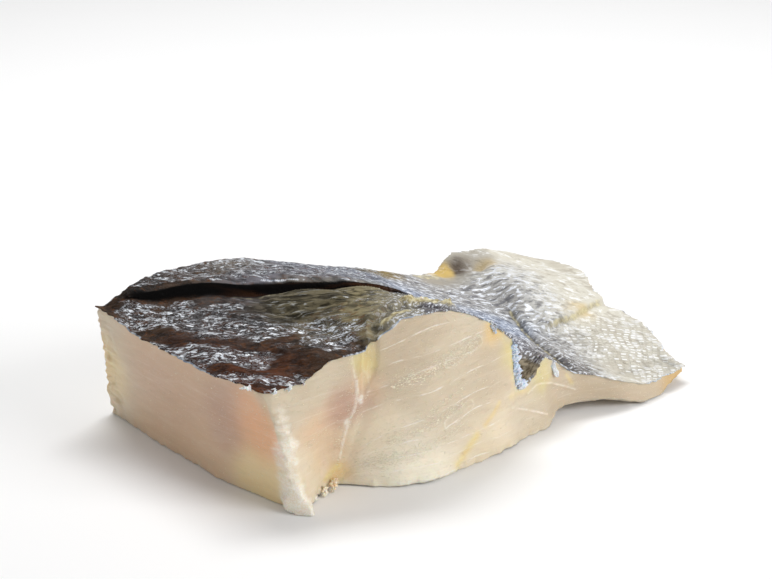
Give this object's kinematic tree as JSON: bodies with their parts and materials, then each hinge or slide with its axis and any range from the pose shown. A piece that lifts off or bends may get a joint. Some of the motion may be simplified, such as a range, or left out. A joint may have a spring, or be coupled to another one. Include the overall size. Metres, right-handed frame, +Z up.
{
  "type": "salted dried cod",
  "caption": "Thick portion of salted dried cod with its skin up: square-cut loin, high back, and a thin belly flap.",
  "frame": {"origin": "centre of the bounding box at its bottom, on the surface that the portion lies on", "axes": "+X from the thick loin cut to the belly flap's edge, +Y from the front cut to the rear cut, +Z up through the skin"},
  "size_m": [0.1604, 0.0886, 0.0444],
  "materials": {
    "flesh": "moist satin cut flesh, slightly translucent",
    "skin": "wet wrinkled scaly skin, dark on the back and silvery on the belly"
  },
  "bodies": {
    "root": {"salt_cod": "flesh"}
  },
  "joints": []
}
